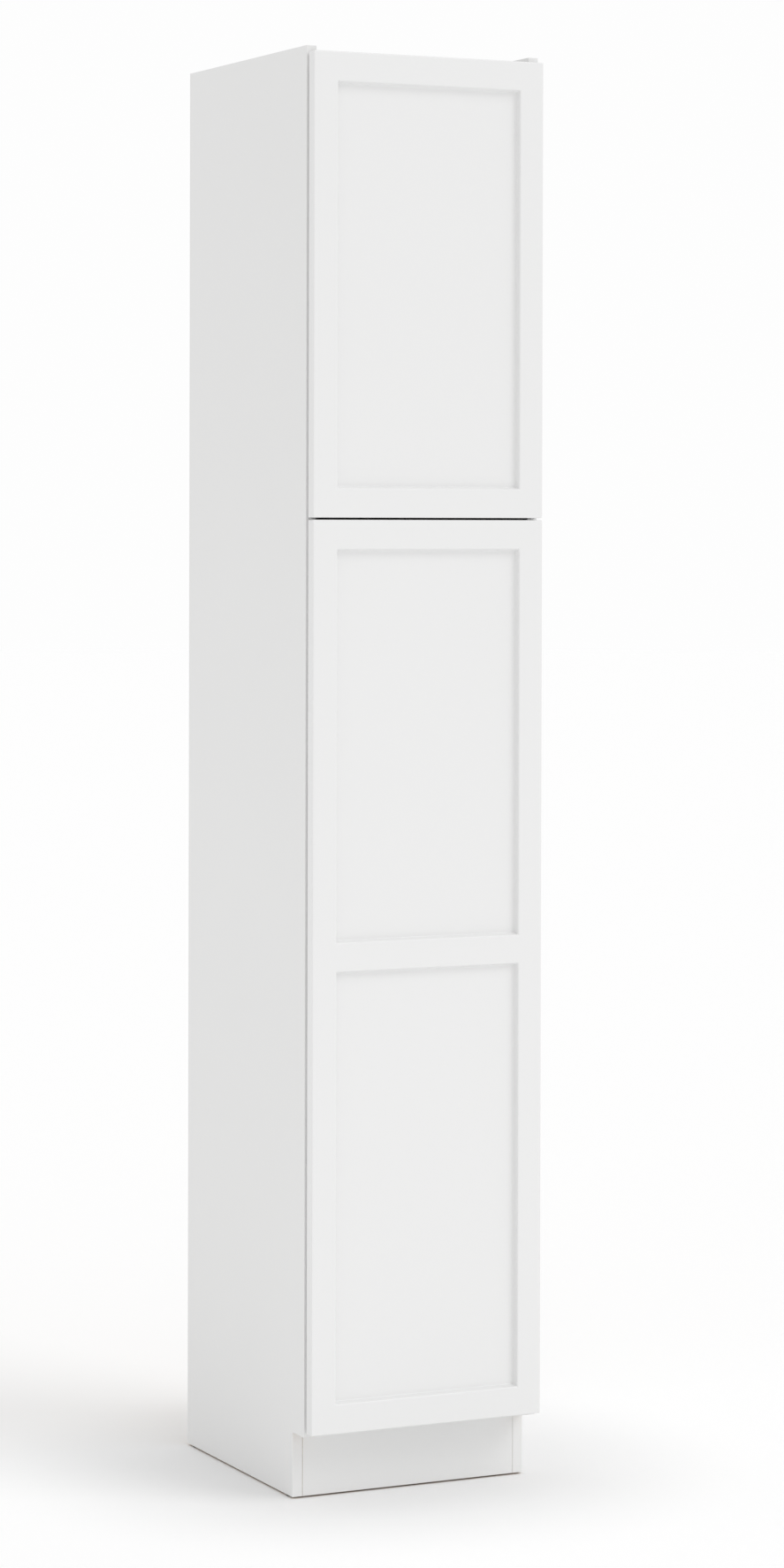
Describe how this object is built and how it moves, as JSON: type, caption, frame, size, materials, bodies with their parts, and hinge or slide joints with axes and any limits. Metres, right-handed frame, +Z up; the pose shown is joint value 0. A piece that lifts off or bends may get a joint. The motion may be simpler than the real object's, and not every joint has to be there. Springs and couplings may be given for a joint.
{
  "type": "pantry cabinet",
  "caption": "Tall narrow frameless pantry cabinet with an upper and a lower recessed-frame door on concealed hinges, shelves inside, a recessed toe kick and no handles.",
  "frame": {"origin": "on the floor, under the middle of the overall box", "axes": "+Z up, -Y the side the doors face, +X the hinged side of the doors"},
  "size_m": [0.381, 0.4572, 2.1336],
  "materials": {
    "case_melamine": "white melamine-faced board, satin",
    "door_paint": "white lacquered board, satin",
    "hinge_nickel": "bright nickel-plated steel",
    "pin_steel": "plain steel rivet",
    "bumper_rubber": "clear soft plastic",
    "glide_plastic": "dark grey moulded plastic"
  },
  "bodies": {
    "case": {"back_panel": "case_melamine", "bottom_deck": "case_melamine", "fixed_shelf": "case_melamine", "glide_left_front": "glide_plastic", "glide_left_rear": "glide_plastic", "glide_right_front": "glide_plastic", "glide_right_rear": "glide_plastic", "hanging_rail_bottom": "case_melamine", "hanging_rail_middle": "case_melamine", "hanging_rail_top": "case_melamine", "lower_door_hinge_1_arm": "hinge_nickel", "lower_door_hinge_1_pin": "pin_steel", "lower_door_hinge_1_plate": "hinge_nickel", "lower_door_hinge_2_arm": "hinge_nickel", "lower_door_hinge_2_pin": "pin_steel", "lower_door_hinge_2_plate": "hinge_nickel", "lower_door_hinge_3_arm": "hinge_nickel", "lower_door_hinge_3_pin": "pin_steel", "lower_door_hinge_3_plate": "hinge_nickel", "lower_shelf_1": "case_melamine", "lower_shelf_2": "case_melamine", "lower_shelf_3": "case_melamine", "rear_toe_brace": "case_melamine", "side_panel_left": "case_melamine", "side_panel_right": "case_melamine", "toe_board": "case_melamine", "top_panel": "case_melamine", "upper_door_hinge_1_arm": "hinge_nickel", "upper_door_hinge_1_pin": "pin_steel", "upper_door_hinge_1_plate": "hinge_nickel", "upper_door_hinge_2_arm": "hinge_nickel", "upper_door_hinge_2_pin": "pin_steel", "upper_door_hinge_2_plate": "hinge_nickel", "upper_shelf_1": "case_melamine", "upper_shelf_2": "case_melamine"},
    "upper_door": {"upper_door_bumper_bottom": "bumper_rubber", "upper_door_bumper_top": "bumper_rubber", "upper_door_hinge_1_cup": "hinge_nickel", "upper_door_hinge_2_cup": "hinge_nickel", "upper_door_leaf": "door_paint"},
    "lower_door": {"lower_door_bumper_bottom": "bumper_rubber", "lower_door_bumper_top": "bumper_rubber", "lower_door_hinge_1_cup": "hinge_nickel", "lower_door_hinge_2_cup": "hinge_nickel", "lower_door_hinge_3_cup": "hinge_nickel", "lower_door_leaf": "door_paint"},
    "upper_links": {"upper_door_hinge_1_link": "hinge_nickel", "upper_door_hinge_2_link": "hinge_nickel"},
    "lower_links": {"lower_door_hinge_1_link": "hinge_nickel", "lower_door_hinge_2_link": "hinge_nickel", "lower_door_hinge_3_link": "hinge_nickel"}
  },
  "joints": [
    {"name": "upper_door_hinge", "type": "hinge", "parent": "case", "child": "upper_door", "pos_m": [0.1811, -0.2221, 1.7838], "axis": [0, 0, 1], "range_deg": [0, 105]},
    {"name": "upper_link_hinge", "type": "hinge", "parent": "case", "child": "upper_links", "pos_m": [0.1475, -0.2038, 1.7838], "axis": [0, 0, 1], "range_deg": [-18.9, 0]},
    {"name": "lower_door_hinge", "type": "hinge", "parent": "case", "child": "lower_door", "pos_m": [0.1811, -0.2221, 0.7727], "axis": [0, 0, 1], "range_deg": [0, 105]},
    {"name": "lower_link_hinge", "type": "hinge", "parent": "case", "child": "lower_links", "pos_m": [0.1475, -0.2038, 0.7727], "axis": [0, 0, 1], "range_deg": [-18.9, 0]}
  ],
  "couplings": [
    {"joint": "upper_link_hinge", "follows": "upper_door_hinge", "ratio": -0.17907},
    {"joint": "lower_link_hinge", "follows": "lower_door_hinge", "ratio": -0.17907}
  ]
}
